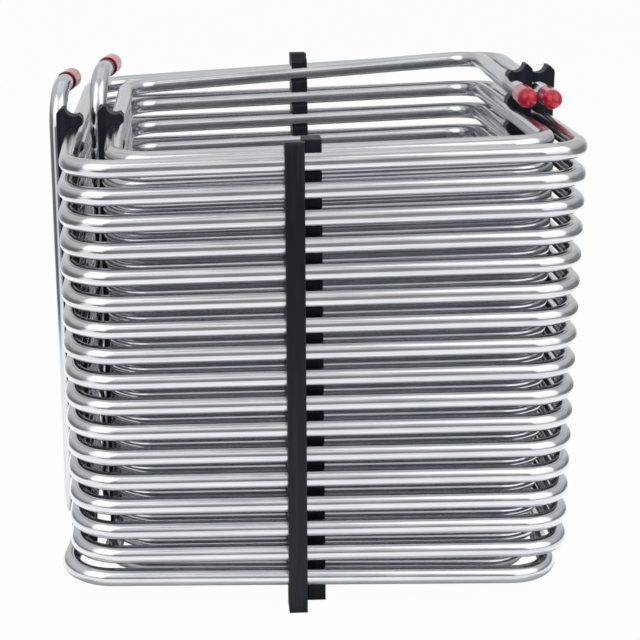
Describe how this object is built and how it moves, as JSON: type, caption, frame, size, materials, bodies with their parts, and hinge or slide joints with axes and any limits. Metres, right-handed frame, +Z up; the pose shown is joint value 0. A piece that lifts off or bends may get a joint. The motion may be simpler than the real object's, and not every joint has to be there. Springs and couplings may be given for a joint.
{
  "type": "immersion wort chiller",
  "caption": "Free-standing immersion chiller: two nested square coils of stainless tube held in snap-in black plastic combs, with pull-off red caps on the tube ends.",
  "frame": {"origin": "middle of the footprint, on the surface that the combs stand on", "axes": "+Z up; -Y is the front, towards which the inlet ends point; +X is the right, the side with the inlet ends; the outlet risers are on the left"},
  "size_m": [0.3802, 0.3734, 0.3677],
  "materials": {
    "tube_steel": "bright drawn stainless tube, polished, with fine lengthwise lines",
    "comb_plastic": "satin blue-black injection-moulded plastic",
    "cap_vinyl": "glossy, slightly translucent red vinyl"
  },
  "bodies": {
    "coils": {"outer_coil": "tube_steel", "outer_comb_front": "comb_plastic", "outer_comb_back": "comb_plastic", "outer_comb_left": "comb_plastic", "outer_comb_right": "comb_plastic", "inner_coil": "tube_steel", "inner_comb_front": "comb_plastic", "inner_comb_back": "comb_plastic", "inner_comb_left": "comb_plastic", "inner_comb_right": "comb_plastic"},
    "outer_inlet_cover": {"outer_inlet_cap": "cap_vinyl"},
    "outer_outlet_cover": {"outer_outlet_cap": "cap_vinyl"},
    "inner_inlet_cover": {"inner_inlet_cap": "cap_vinyl"},
    "inner_outlet_cover": {"inner_outlet_cap": "cap_vinyl"}
  },
  "joints": [
    {"name": "outer_inlet_cap_pull", "type": "slide", "parent": "coils", "child": "outer_inlet_cover", "axis": [0, -1, 0], "range_m": [0, 0.022]},
    {"name": "outer_outlet_cap_pull", "type": "slide", "parent": "coils", "child": "outer_outlet_cover", "axis": [0.1219, 0.9925, 0], "range_m": [0, 0.022]},
    {"name": "inner_inlet_cap_pull", "type": "slide", "parent": "coils", "child": "inner_inlet_cover", "axis": [0, -1, 0], "range_m": [0, 0.022]},
    {"name": "inner_outlet_cap_pull", "type": "slide", "parent": "coils", "child": "inner_outlet_cover", "axis": [0.1219, 0.9925, 0], "range_m": [0, 0.022]}
  ]
}
